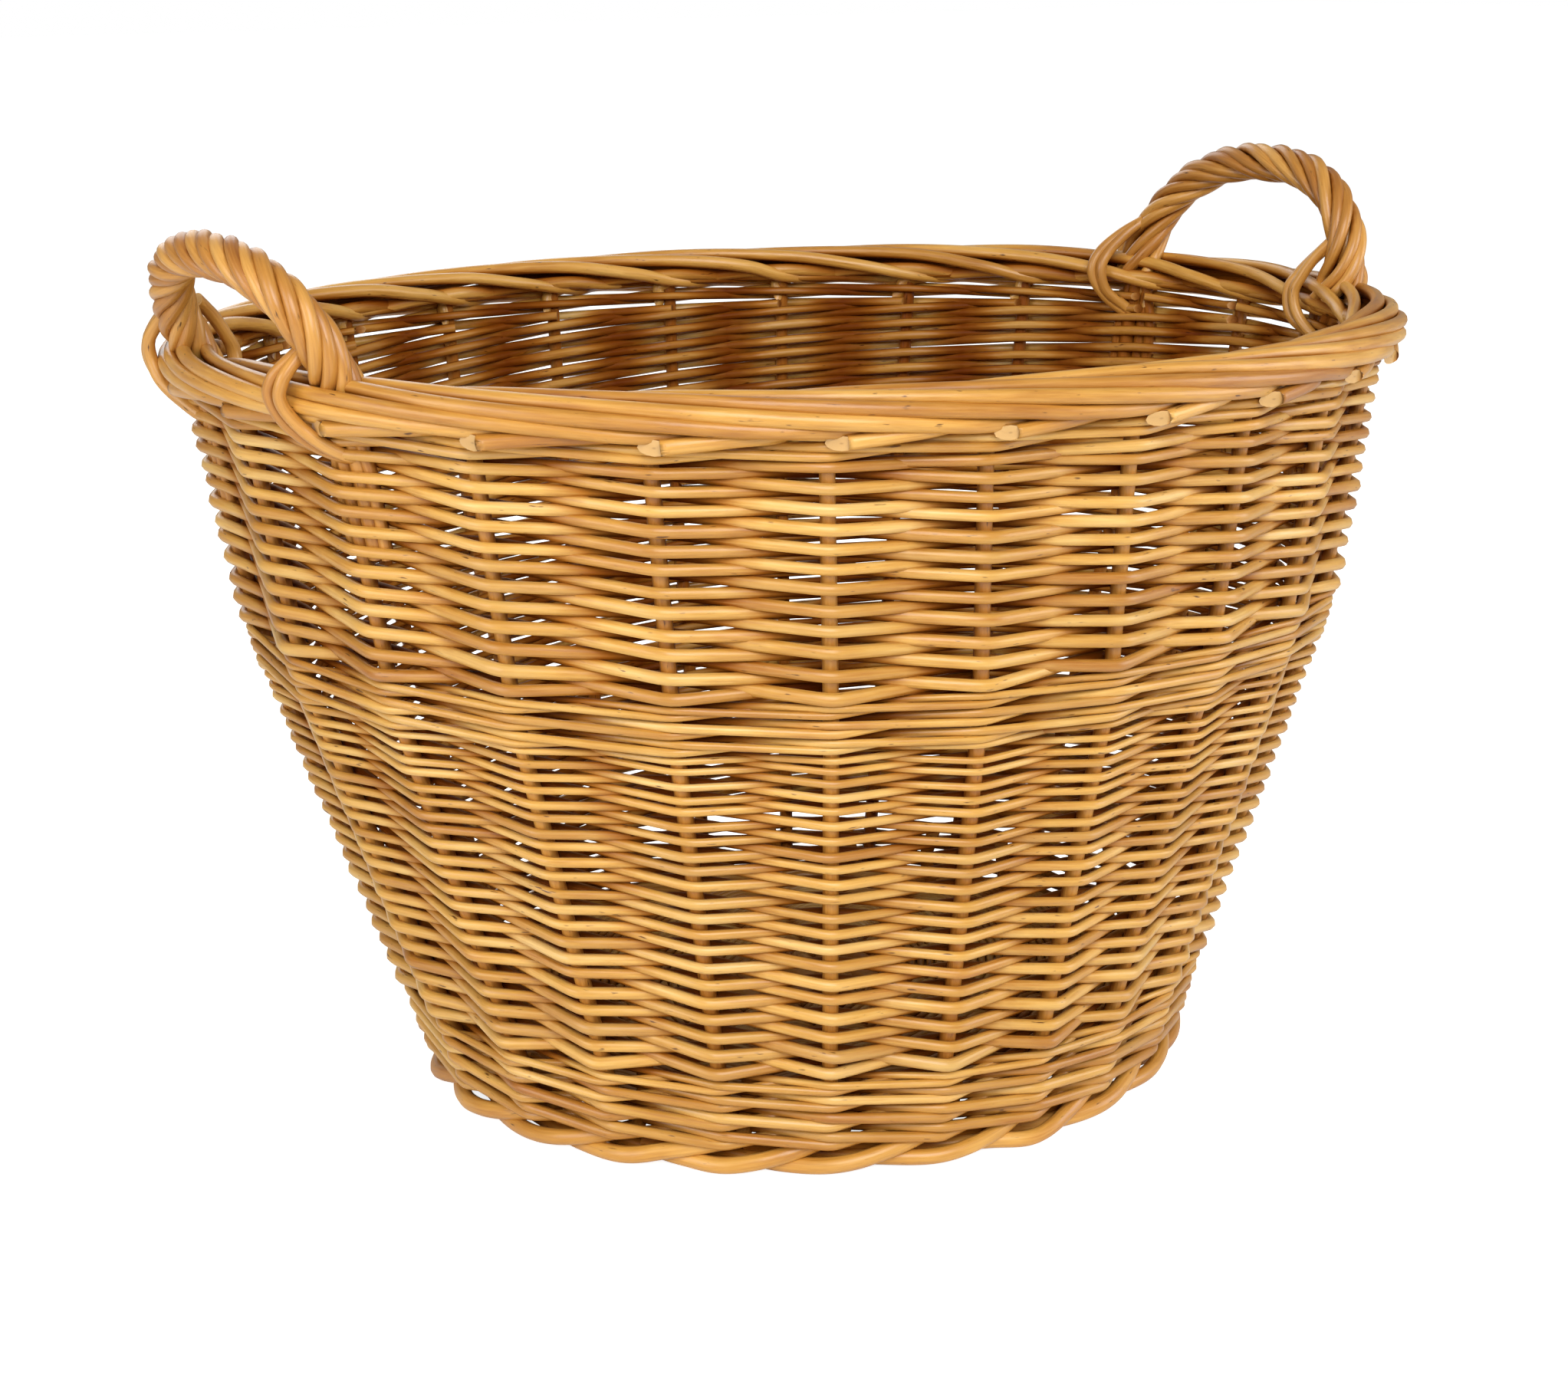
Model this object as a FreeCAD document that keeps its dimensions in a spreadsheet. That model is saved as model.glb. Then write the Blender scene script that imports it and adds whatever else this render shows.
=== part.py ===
import FreeCAD, Part
import math
import os

# Oval wicker log basket: a willow base, upright stakes, woven bands stacked up the wall, a rolled
# border and two roped bow handles at the ends of the oval.
# Millimetres. +Z is up, +X runs along the oval towards the right-hand handle, and the origin is the
# middle of the oval on the floor.

DOC_NAME = "log_basket"
SHEET = "Sizes"

# alias, value, what it is
DRIVING_SIZES = (
    ("base_half_length", 197.0, "outer half length of the wall where it meets the floor"),
    ("base_half_width", 185.0, "outer half width of the wall where it meets the floor"),
    ("waist_half_length", 281.0, "outer half length at the waist band"),
    ("waist_half_width", 247.0, "outer half width at the waist band"),
    ("rim_half_length", 310.0, "outer half length at the rim"),
    ("rim_half_width", 260.0, "outer half width at the rim"),
    ("waist_height", 233.0, "height where the flare of the wall changes"),
    ("rim_height", 379.0, "top of the border"),
    ("base_floor", 0.0, "the floor that the foot rests on"),
    ("foot_height", 16.0, "height of the plaited foot"),
    ("bottom_wale_top", 55.0, "top of the heavy waling above the foot"),
    ("lower_siding_top", 221.5, "top of the lower siding"),
    ("mid_wale_top", 244.5, "top of the waist band"),
    ("upper_siding_top", 349.0, "top of the upper siding"),
    ("top_wale_top", 359.0, "top of the thin waling under the border"),
    ("band_gap", 0.4, "clear space between stacked bands"),
    ("wall_thickness", 16.0, "woven wall, inside to outside"),
    ("border_overhang", 8.0, "how far the border stands out past the wall"),
    ("border_depth", 31.0, "border, inside to outside"),
    ("border_rounding", 6.0, "rounding of the border's long edges"),
    ("foot_overhang", 2.0, "how far the foot stands out past the wall"),
    ("foot_depth", 17.0, "foot, inside to outside"),
    ("foot_rounding", 4.0, "rounding of the foot's long edges"),
    ("stake_count", 24.0, "upright stakes round the wall"),
    ("stake_diameter", 7.5, "upright stake"),
    ("foot_stake_diameter", 6.0, "rod that holds the foot to the wall"),
    ("foot_stake_offset", 9.0, "foot rod to the stake beside it, along the wall"),
    ("foot_stake_top", 50.0, "height that the foot rods reach"),
    ("channel_clearance", 0.4, "space round a rod that runs through the weave"),
    ("base_bottom", 17.5, "underside of the woven base"),
    ("base_thickness", 14.0, "woven base"),
    ("base_clearance", 2.0, "space between the base and the wall"),
    ("long_stick_count", 4.0, "sticks that run along the base"),
    ("long_stick_diameter", 6.5, "stick that runs along the base"),
    ("long_stick_spacing", 7.2, "between long sticks at the middle of the base"),
    ("long_stick_straight", 45.0, "middle of the base to where the long sticks fan out"),
    ("short_stick_count", 7.0, "pierced sticks that run across the base"),
    ("short_stick_diameter", 11.0, "pierced stick that runs across the base"),
    ("short_stick_spacing", 13.0, "between short sticks at the middle of the base"),
    ("short_stick_straight", 20.0, "middle of the base to where the short sticks fan out"),
    ("cut_end_diameter", 7.0, "slanted rod ends tucked under the border"),
    ("cut_end_length", 24.0, "length of a rod end that shows"),
    ("cut_end_start", 2.0, "stake to the tip of a rod end, along the rim"),
    ("bow_to_stake", 9.7, "bow end to the stake beside it, along the rim"),
    ("handle_rise_right", 55.0, "rim to the top of the right-hand bow's centre line"),
    ("handle_rise_left", 47.0, "rim to the top of the left-hand bow's centre line"),
    ("handle_lean_right", 11.0, "outward lean of the right-hand bow"),
    ("handle_lean_left", 18.0, "outward lean of the left-hand bow"),
    ("handle_lean_forward", 10.0, "lean of both bows towards the front"),
    ("handle_root_height", 300.0, "height where the buried ends of a bow stop"),
    ("bow_diameter", 8.6, "core rod of a handle"),
    ("bow_clearance", 0.8, "space round the bow's ends in the wall"),
    ("rope_diameter", 21.0, "roped handle over its twisted rods"),
    ("liner_diameter", 6.0, "rods pushed down beside the bow's ends"),
    ("liner_to_bow", 9.2, "liner to the bow end, along the rim"),
    ("liner_to_stake", 8.0, "liner to the stake, along the rim"),
    ("lashing_diameter", 6.0, "rods that loop over the border at a handle foot"),
    ("lashing_offset", 26.5, "first lashing loop to the bow end, along the rim"),
    ("lashing_spacing", 8.2, "between the two loops of a lashing"),
    ("lashing_clearance", 0.7, "space between a lashing and the border"),
)

STAKE_ROOT_HEIGHT = 18.5     # the stakes start beside the base sticks
STICK_END_MARGIN = 8.0       # base sticks stop short of the base's edge
SLOT_OVERRUN = 4.0           # slots run past the ends of their rods
ROPE_STEPS = 12              # curve points on the half oval of a roped handle
CORE_STEPS = 30              # straight runs on the half oval of a bow
ROPE_LIFT = 1.5              # the roping starts a little above the rim
MITRED = 1                   # how a sweep turns a corner
LOOP_CORNER_SHARE = 0.75     # where a lashing loop's straight sides end, as a share of half its width

doc = FreeCAD.newDocument(DOC_NAME)


def make_sheet():
    """Write the driving dimensions as plain numbers with aliases."""
    sheet = doc.addObject("Spreadsheet::Sheet", SHEET)
    for row, (alias, value, meaning) in enumerate(DRIVING_SIZES, start=1):
        sheet.set(f"A{row}", alias)
        sheet.set(f"B{row}", str(value))
        sheet.set(f"C{row}", meaning)
        sheet.setAlias(f"B{row}", alias)
    doc.recompute()
    return sheet


sheet = make_sheet()


def size(alias):
    """Value of a driving dimension."""
    return float(sheet.get(alias))


def cell(alias):
    """The same dimension as text for an expression."""
    return f"{SHEET}.{alias}"


# ---- the flare of the wall -------------------------------------------------------------------

def flare(axis, height_alias):
    """Expression for the wall's outer half length or half width at a named height."""
    low, high, start, end = "base", "waist", "0", cell("waist_height")
    if size(height_alias) > size("waist_height"):
        low, high, start, end = "waist", "rim", cell("waist_height"), cell("rim_height")
    near = cell(f"{low}_half_{axis}")
    far = cell(f"{high}_half_{axis}")
    share = f"({cell(height_alias)} - {start}) / ({end} - {start})"
    return f"({near} + ({far} - {near}) * {share})"


def flare_value(axis, height):
    """The same half length or half width as a number, at any height."""
    low, high, start, end = "base", "waist", 0.0, size("waist_height")
    if height > end:
        low, high, start, end = "waist", "rim", end, size("rim_height")
    near = size(f"{low}_half_{axis}")
    far = size(f"{high}_half_{axis}")
    return near + (far - near) * (height - start) / (end - start)


def wall_oval(height, inset):
    """Edge that runs round the wall at a height, set in from the outer face."""
    centre = FreeCAD.Vector(0, 0, height)
    half_length = flare_value("length", height) - inset
    half_width = flare_value("width", height) - inset
    return Part.Ellipse(centre, half_length, half_width).toShape()


def rim_length():
    """Length of the rim's centre line."""
    return wall_oval(size("rim_height"), size("wall_thickness") / 2).Length


def wall_point(reach, height, inset):
    """Point on the wall. Reach is measured along the rim, anticlockwise from the oval's +X end."""
    edge = wall_oval(height, inset)
    share = (reach / rim_length()) % 1.0
    return edge.valueAt(edge.getParameterByLength(share * edge.Length))


def wall_normal(reach):
    """Level outward direction of the rim at a reach."""
    edge = wall_oval(size("rim_height"), size("wall_thickness") / 2)
    share = (reach / rim_length()) % 1.0
    along = edge.tangentAt(edge.getParameterByLength(share * edge.Length))
    return along.cross(FreeCAD.Vector(0, 0, 1))


# ---- building blocks ---------------------------------------------------------------------------

def oval(name, half_length, half_width, height):
    """Oval outline with its sizes bound to expressions."""
    outline = doc.addObject("Part::Ellipse", name)
    outline.setExpression("MajorRadius", half_length)
    outline.setExpression("MinorRadius", half_width)
    outline.setExpression(".Placement.Base.z", height)
    return outline


def loft(name, lower, upper):
    """Closed solid between two level ovals."""
    solid = doc.addObject("Part::Loft", name)
    solid.Sections = [lower, upper]
    solid.Solid = True
    solid.Ruled = True
    return solid


def cut(name, base, tool):
    """Base with the tool taken away."""
    result = doc.addObject("Part::Cut", name)
    result.Base = base
    result.Tool = tool
    return result


def solid_group(name, shapes):
    """Separate solids kept together in one object."""
    group = doc.addObject("Part::Feature", name)
    group.Shape = Part.makeCompound(shapes)
    group.Placement = FreeCAD.Placement()
    return group


def rod(points, diameter, closed=False):
    """Round rod along straight runs between points, with a mitre at each bend."""
    if len(points) == 2:
        start, end = points
        return Part.makeCylinder(diameter / 2, (end - start).Length, start, end - start)
    path = points
    if closed:
        middle = (points[0] + points[1]) * 0.5
        path = [middle] + points[1:] + [points[0], middle]
    profile = Part.Wire(Part.Circle(path[0], path[1] - path[0], diameter / 2).toShape())
    return Part.makePolygon(path).makePipeShell([profile], True, False, MITRED)


def bent_rod(points, diameter):
    """Round rod along a smooth curve through points."""
    curve = Part.BSplineCurve()
    curve.interpolate(points)
    direction = curve.tangent(curve.FirstParameter)[0]
    profile = Part.Wire(Part.Circle(points[0], direction, diameter / 2).toShape())
    return Part.Wire(curve.toShape()).makePipeShell([profile], True, True)


def largest_edges(solid, height):
    """Numbers of the two full ovals that bound a ring's level face at a height."""
    numbers = []
    for number, edge in enumerate(solid.Shape.Edges, start=1):
        box = edge.BoundBox
        if abs(box.ZMin - height) < 1e-3 and abs(box.ZMax - height) < 1e-3:
            numbers.append(number)
    return numbers


def rounded(name, ring, heights, radius):
    """Ring with the edges of its level faces rounded."""
    doc.recompute()
    fillet = doc.addObject("Part::Fillet", name)
    fillet.Base = ring
    numbers = [number for height in heights for number in largest_edges(ring, height)]
    fillet.Edges = [(number, radius, radius) for number in numbers]
    return fillet


# ---- stakes and rods that run through the weave --------------------------------------------------

def stake_points(reach, bottom, top):
    """Path of a rod in the middle of the wall, bent at the waist where it passes it."""
    middle = size("wall_thickness") / 2
    waist = size("waist_height")
    heights = [bottom, waist, top] if bottom < waist < top else [bottom, top]
    return [wall_point(reach, height, middle) for height in heights]


def ring_of_rods(offset, bottom, top, diameter):
    """One rod per stake position, all alike."""
    count = round(size("stake_count"))
    spacing = rim_length() / count
    return [rod(stake_points(number * spacing + offset, bottom, top), diameter)
            for number in range(count)]


def side_stakes(extra=0.0, overrun=0.0):
    """Upright stakes. Extra widens them, and overrun lengthens them, to cut their channels."""
    top = size("top_wale_top") - size("band_gap")
    return ring_of_rods(0.0, STAKE_ROOT_HEIGHT - overrun, top + overrun,
                        size("stake_diameter") + 2 * extra)


def foot_stakes(extra=0.0, overrun=0.0):
    """Short rods that hold the foot to the wall."""
    bottom = size("foot_height") + size("band_gap")
    return ring_of_rods(size("foot_stake_offset"), bottom - overrun, size("foot_stake_top") + overrun,
                        size("foot_stake_diameter") + 2 * extra)


# ---- base ------------------------------------------------------------------------------------------

def base_half(axis):
    """Half length or half width of the woven base."""
    return flare_value(axis, size("base_bottom")) - size("wall_thickness") - size("base_clearance")


def base_edge_point(share):
    """Point where a stick ends, at a share of the way round from the +X end of the base."""
    centre = FreeCAD.Vector(0, 0, size("base_bottom") + size("base_thickness") / 2)
    edge = Part.Ellipse(centre, base_half("length") - STICK_END_MARGIN,
                        base_half("width") - STICK_END_MARGIN).toShape()
    return edge.valueAt(edge.getParameterByLength((share % 1.0) * edge.Length))


def fanned_sticks(kind, quarter, extra):
    """Sticks that lie side by side at the middle of the base and fan out evenly round its edge."""
    count = round(size(f"{kind}_stick_count"))
    ends = 2 * round(size("long_stick_count") + size("short_stick_count"))
    straight = size(f"{kind}_stick_straight")
    sticks = []
    for number in range(count):
        place = number - (count - 1) / 2
        shift = place * size(f"{kind}_stick_spacing")
        near = base_edge_point(quarter + place / ends)
        far = base_edge_point(quarter + 0.5 - place / ends)
        bends = [FreeCAD.Vector(straight, shift, near.z), FreeCAD.Vector(-straight, shift, near.z)]
        if kind == "short":
            bends = [FreeCAD.Vector(-shift, straight, near.z), FreeCAD.Vector(-shift, -straight, near.z)]
        sticks.append(rod([near] + bends + [far], size(f"{kind}_stick_diameter") + 2 * extra))
    return sticks


def long_sticks(extra=0.0):
    """Sticks that run along the base."""
    return fanned_sticks("long", 0.0, extra)


def short_sticks(extra=0.0):
    """Thick sticks that run across the base."""
    return fanned_sticks("short", 0.25, extra)


def make_base():
    """Pierced cross of sticks, and the oval of weaving that holds them."""
    clearance = size("channel_clearance")
    long_group = solid_group("base_long_sticks", long_sticks())
    long_slots = solid_group("long_stick_slots", long_sticks(extra=clearance))
    uncut_short = solid_group("short_sticks_uncut", short_sticks())
    short_group = cut("base_short_sticks", uncut_short, long_slots)

    inset = f"{cell('wall_thickness')} - {cell('base_clearance')}"
    half_length = f"{flare('length', 'base_bottom')} - {inset}"
    half_width = f"{flare('width', 'base_bottom')} - {inset}"
    bottom = cell("base_bottom")
    under = oval("base_underside", half_length, half_width, bottom)
    over = oval("base_topside", half_length, half_width, f"{bottom} + {cell('base_thickness')}")
    plate = loft("base_plate", under, over)
    slots = solid_group("base_slots", [Part.makeCompound(long_sticks(extra=clearance)),
                                       Part.makeCompound(short_sticks(extra=clearance))])
    weave = cut("base_weave", plate, slots)
    return [long_group, short_group, weave]


# ---- woven bands -------------------------------------------------------------------------------------

def band_shell(name, low_alias, high_alias):
    """Ring of wall between two named heights, leaving the band gap at its bottom."""
    def edge_oval(part, alias, inset, lift):
        half_length = f"{flare('length', alias)} - {inset}"
        half_width = f"{flare('width', alias)} - {inset}"
        return oval(f"{name}_{part}", half_length, half_width, f"{cell(alias)} + {lift}")

    thickness = cell("wall_thickness")
    gap = cell("band_gap")
    outer = loft(f"{name}_outer", edge_oval("outer_low", low_alias, "0", gap),
                 edge_oval("outer_high", high_alias, "0", "0"))
    inner = loft(f"{name}_inner", edge_oval("inner_low", low_alias, thickness, gap),
                 edge_oval("inner_high", high_alias, thickness, "0"))
    return cut(f"{name}_shell", outer, inner)


def make_bands():
    """The five woven bands, from the foot up."""
    clearance = size("channel_clearance")
    stake_slots = solid_group("stake_slots", side_stakes(extra=clearance, overrun=SLOT_OVERRUN))
    foot_slots = solid_group("foot_slots", foot_stakes(extra=clearance, overrun=SLOT_OVERRUN))
    end_slots = solid_group("handle_end_slots", handle_end_slots())
    loop_slots = solid_group("lashing_slots", lashing_slots())
    bottom = cut("bottom_wale_staked", band_shell("bottom_wale", "foot_height", "bottom_wale_top"),
                 stake_slots)
    bottom = cut("bottom_wale", bottom, foot_slots)
    lower = cut("lower_siding", band_shell("lower_siding", "bottom_wale_top", "lower_siding_top"),
                stake_slots)
    middle = cut("mid_wale", band_shell("mid_wale", "lower_siding_top", "mid_wale_top"), stake_slots)
    upper = cut("upper_siding_staked", band_shell("upper_siding", "mid_wale_top", "upper_siding_top"),
                stake_slots)
    upper = cut("upper_siding", upper, end_slots)
    top = cut("top_wale_staked", band_shell("top_wale", "upper_siding_top", "top_wale_top"),
              stake_slots)
    top = cut("top_wale_ended", top, end_slots)
    top = cut("top_wale", top, loop_slots)
    return [bottom, lower, middle, upper, top]


def upright_ring(name, size_alias, overhang, depth, bottom, top):
    """Ring with upright sides that follows the wall's oval at one height."""
    def side_loft(part, growth):
        half_length = f"{flare('length', size_alias)} + {growth}"
        half_width = f"{flare('width', size_alias)} + {growth}"
        return loft(f"{name}_{part}", oval(f"{name}_{part}_low", half_length, half_width, bottom),
                    oval(f"{name}_{part}_high", half_length, half_width, top))

    outer = side_loft("outer", overhang)
    inner = side_loft("inner", f"{overhang} - {depth}")
    return cut(f"{name}_ring", outer, inner)


def make_border():
    """Rolled border, let down over the handle ends."""
    bottom = f"{cell('top_wale_top')} + {cell('band_gap')}"
    ring = upright_ring("top_border", "rim_height", cell("border_overhang"), cell("border_depth"),
                        bottom, cell("rim_height"))
    heights = [size("top_wale_top") + size("band_gap"), size("rim_height")]
    soft = rounded("top_border_rounded", ring, heights, size("border_rounding"))
    return cut("top_border", soft, solid_group("border_slots", handle_end_slots()))


def make_foot():
    """Plaited foot with a level underside."""
    ring = upright_ring("foot_border", "base_floor", cell("foot_overhang"), cell("foot_depth"),
                        "0", cell("foot_height"))
    return rounded("foot_border", ring, [0.0, size("foot_height")], size("foot_rounding"))


def make_cut_ends():
    """Slanted rod ends that lie under the border, one beside each stake that a lashing leaves free."""
    diameter = size("cut_end_diameter")
    height = size("top_wale_top") - diameter / 2
    outward = -(diameter / 2 + size("channel_clearance"))
    spacing = rim_length() / round(size("stake_count"))
    ends = []
    for number in range(round(size("stake_count"))):
        tip = number * spacing + size("cut_end_start")
        tail = tip + size("cut_end_length")
        if any(tip < reach < tail for reach in lashing_reaches()):
            continue
        ends.append(rod([wall_point(tip, height, outward), wall_point(tail, height, outward)],
                        diameter))
    return solid_group("border_cut_ends", ends)


# ---- handles -----------------------------------------------------------------------------------------

def handle_feet(side):
    """Reach of the stake beside each foot of a handle, front foot first, and the way to the bow end."""
    spacing = rim_length() / round(size("stake_count"))
    half = rim_length() / 2
    if side == "right":
        return [(-spacing, -1), (spacing, 1)]
    return [(half + spacing, 1), (half - spacing, 1)]


def bow_reaches(side):
    """Reach along the rim of a bow's two ends, the front one first."""
    return [stake + way * size("bow_to_stake") for stake, way in handle_feet(side)]


def bow_arch(side, steps, lift=0.0):
    """Points on the half oval over the rim, from the front foot to the back foot."""
    front, back = [wall_point(reach, size("rim_height"), size("wall_thickness") / 2)
                   for reach in bow_reaches(side)]
    middle = (front + back) * 0.5
    half_span = (back - front) * 0.5
    outward = size("handle_lean_right") if side == "right" else -size("handle_lean_left")
    top = FreeCAD.Vector(outward, -size("handle_lean_forward"), size(f"handle_rise_{side}"))
    foot = FreeCAD.Vector(0, 0, lift)
    points = []
    for step in range(steps + 1):
        angle = math.pi * step / steps
        points.append(middle - half_span * math.cos(angle) + top * math.sin(angle) + foot)
    return points


def bow_core(side):
    """Core rod of a handle: the arch, and the two ends that run down inside the wall."""
    root = size("handle_root_height")
    front, back = [wall_point(reach, root, size("wall_thickness") / 2)
                   for reach in bow_reaches(side)]
    return rod([front] + bow_arch(side, CORE_STEPS) + [back], size("bow_diameter"))


def leg_slots(side):
    """Straight slots for the bow's ends, through the wall and the border."""
    middle = size("wall_thickness") / 2
    heights = (size("handle_root_height") - SLOT_OVERRUN, size("rim_height") + SLOT_OVERRUN)
    return [rod([wall_point(reach, height, middle) for height in heights],
                size("bow_diameter") + 2 * size("bow_clearance"))
            for reach in bow_reaches(side)]


def rope_wrap(side):
    """Sleeve that the twisted rods fill round the bow, from rim to rim."""
    arch = bow_arch(side, ROPE_STEPS, ROPE_LIFT)
    outside = bent_rod(arch, size("rope_diameter"))
    inside = bent_rod(arch, size("bow_diameter") + 4 * size("channel_clearance"))
    return outside.cut(inside)


def liners(side, extra=0.0, overrun=0.0):
    """Two rods pushed down at each foot: one past the bow end, one on the stake's other side."""
    bottom = size("handle_root_height") - overrun
    top = size("rim_height") - size("band_gap") + overrun
    rods = []
    for stake, way in handle_feet(side):
        past_bow = size("bow_to_stake") + size("liner_to_bow")
        for offset in (past_bow, -size("liner_to_stake")):
            rods.append(rod(stake_points(stake + way * offset, bottom, top),
                            size("liner_diameter") + 2 * extra))
    return rods


def lashing_pair(foot_reach, way):
    """Reach of the two loops beside a foot."""
    first = size("lashing_offset")
    return [foot_reach + way * first, foot_reach + way * (first + size("lashing_spacing"))]


def lashing(reaches, extra=0.0):
    """Loops round the border."""
    clearance = size("lashing_clearance") + size("lashing_diameter") / 2
    half_depth = size("border_depth") / 2 + clearance
    border_bottom = size("top_wale_top") + size("band_gap")
    half_height = (size("rim_height") - border_bottom) / 2 + clearance
    inset = size("border_depth") / 2 - size("border_overhang")
    slope = LOOP_CORNER_SHARE
    corners = [(1, slope), (slope, 1), (-slope, 1), (-1, slope),
               (-1, -slope), (-slope, -1), (slope, -1), (1, -slope)]
    loops = []
    for reach in reaches:
        centre = wall_point(reach, size("rim_height"), inset)
        centre.z = (size("rim_height") + border_bottom) / 2
        level = wall_normal(reach) * half_depth
        rise = FreeCAD.Vector(0, 0, half_height)
        points = [centre + level * across + rise * up for across, up in corners]
        loops.append(rod(points, size("lashing_diameter") + 2 * extra, closed=True))
    return loops


def lashing_sites(side):
    """Loop reaches at the front and the back foot of a handle."""
    way = 1 if side == "right" else -1
    front, back = bow_reaches(side)
    return {"front": lashing_pair(front, way), "back": lashing_pair(back, way)}


def lashing_reaches():
    """Reach of every lashing loop, from zero to the rim's length."""
    reaches = []
    for side in ("left", "right"):
        for pair in lashing_sites(side).values():
            reaches += [reach % rim_length() for reach in pair]
    return reaches


def make_handle(side):
    """Core, roped sleeve, liners and lashings of one handle."""
    core = solid_group(f"handle_core_{side}", [bow_core(side)])
    rope = solid_group(f"handle_rope_{side}", [rope_wrap(side)])
    liner_rods = solid_group(f"handle_liners_{side}", liners(side))
    loops = [solid_group(f"handle_lashing_{side}_{foot}", lashing(pair))
             for foot, pair in lashing_sites(side).items()]
    return [core, rope, liner_rods] + loops


def handle_end_slots():
    """Space that the buried ends of the handles take out of the wall."""
    clearance = size("channel_clearance")
    shapes = []
    for side in ("left", "right"):
        shapes += leg_slots(side)
        shapes += liners(side, extra=clearance, overrun=SLOT_OVERRUN)
    return shapes


def lashing_slots():
    """Space that the lashing loops take out of the waling under the border."""
    return lashing(lashing_reaches(), extra=size("channel_clearance"))


# ---- the whole basket ----------------------------------------------------------------------------------

def check_document(parts):
    """Stop if any object failed or any sub-part has no valid shape."""
    for item in doc.Objects:
        if "Invalid" in item.State or "Error" in item.State:
            raise RuntimeError(f"{item.Label} failed: {item.State}")
    for item in parts:
        if item.Shape.isNull() or not item.Shape.isValid():
            raise RuntimeError(f"{item.Label} has no valid shape")
        if not item.Shape.Solids:
            raise RuntimeError(f"{item.Label} holds no solid")


def export(parts):
    """Write one STEP file per sub-part, named by its label."""
    os.makedirs("parts", exist_ok=True)
    for item in parts:
        item.Shape.exportStep(os.path.join("parts", f"{item.Label}.step"))
        print(item.Label, len(item.Shape.Solids), "solids", round(item.Shape.Volume / 1000, 1), "cm3")


parts = make_base()
parts += [make_foot(),
          solid_group("foot_stakes", foot_stakes()),
          solid_group("side_stakes", side_stakes())]
parts += make_bands()
parts += [make_border(), make_cut_ends()]
for handle_side in ("left", "right"):
    parts += make_handle(handle_side)

doc.recompute()
check_document(parts)
export(parts)
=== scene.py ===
import math

import bpy
import numpy as np
from mathutils import Euler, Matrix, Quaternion, Vector


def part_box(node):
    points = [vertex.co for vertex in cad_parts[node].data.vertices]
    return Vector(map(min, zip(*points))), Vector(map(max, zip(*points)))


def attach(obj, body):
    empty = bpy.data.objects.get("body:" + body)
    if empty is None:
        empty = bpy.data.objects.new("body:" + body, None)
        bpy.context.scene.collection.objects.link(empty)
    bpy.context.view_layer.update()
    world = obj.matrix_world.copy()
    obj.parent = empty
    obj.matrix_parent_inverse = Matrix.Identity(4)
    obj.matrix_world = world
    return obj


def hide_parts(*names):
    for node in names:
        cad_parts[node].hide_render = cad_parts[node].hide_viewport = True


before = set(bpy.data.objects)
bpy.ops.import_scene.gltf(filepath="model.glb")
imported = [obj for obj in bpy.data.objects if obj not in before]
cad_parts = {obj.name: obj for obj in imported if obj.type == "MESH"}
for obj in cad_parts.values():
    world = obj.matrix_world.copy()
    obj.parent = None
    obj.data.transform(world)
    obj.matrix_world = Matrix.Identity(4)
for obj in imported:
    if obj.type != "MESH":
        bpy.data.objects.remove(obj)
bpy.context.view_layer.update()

# The wicker log basket's woven look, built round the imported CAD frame. Metres, +Z up, unless a
# comment says mm.
# A place on the wall is given as (place, height, out): place counts stakes anticlockwise from the
# oval's +X end, and out is the distance from the middle of the wall along its outward normal.

CHANCE = np.random.default_rng(20240611)

STAKES = 24
WALL_THICKNESS = 0.016
STAKE_RADIUS = 0.0038
BORDER_OVERHANG = 0.008
SLOPE_STEP = 0.02            # the wall's slope is read this far above and below a point
BULGE_SIZE = 0.0009
BULGE_COUNT = 8
BANDS = ("bottom_wale", "lower_siding", "mid_wale", "upper_siding", "top_wale")


# ---- the wall's surface ------------------------------------------------------------------------

def wall_levels():
    """Height, outer half length and outer half width of the wall at each band's top."""
    rows = []
    for node in BANDS:
        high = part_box(node)[1]
        rows.append((high[2], high[0], high[1]))
    first, second = np.array(rows[0]), np.array(rows[1])
    floor = first - (second - first) * first[0] / (second[0] - first[0])
    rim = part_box("top_border")[1]
    rows.insert(0, tuple(floor))
    rows.append((rim[2], rim[0] - BORDER_OVERHANG, rim[1] - BORDER_OVERHANG))
    return np.array(rows)


LEVELS = wall_levels()
RIM = LEVELS[-1, 0]
STAKE_DRIFT = CHANCE.uniform(-0.05, 0.05, (2, STAKES))     # sideways drift of each stake, foot and rim
# size, waves round the wall, half waves up it, and start of each bulge
BULGES = [(CHANCE.uniform(-1, 1), CHANCE.integers(2, 6), CHANCE.uniform(0.5, 2.0),
           CHANCE.uniform(0, 2 * math.pi)) for _ in range(BULGE_COUNT)]


def middle_height(node):
    """Height of the middle of a CAD node."""
    low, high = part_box(node)
    return (low.z + high.z) / 2


def half_sizes(height):
    """Half length and half width of the middle of the wall at heights."""
    middle = WALL_THICKNESS / 2
    return (np.interp(height, LEVELS[:, 0], LEVELS[:, 1]) - middle,
            np.interp(height, LEVELS[:, 0], LEVELS[:, 2]) - middle)


def even_angle(place, half_length, half_width):
    """Angle on an oval of a place counted in stakes, which stand at even spacing along it."""
    turn = 2 * math.pi * place / STAKES
    squash = (half_length ** 2 - half_width ** 2) / (half_length ** 2 + half_width ** 2) / 2
    return turn + squash / 2 * np.sin(2 * turn)


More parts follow.
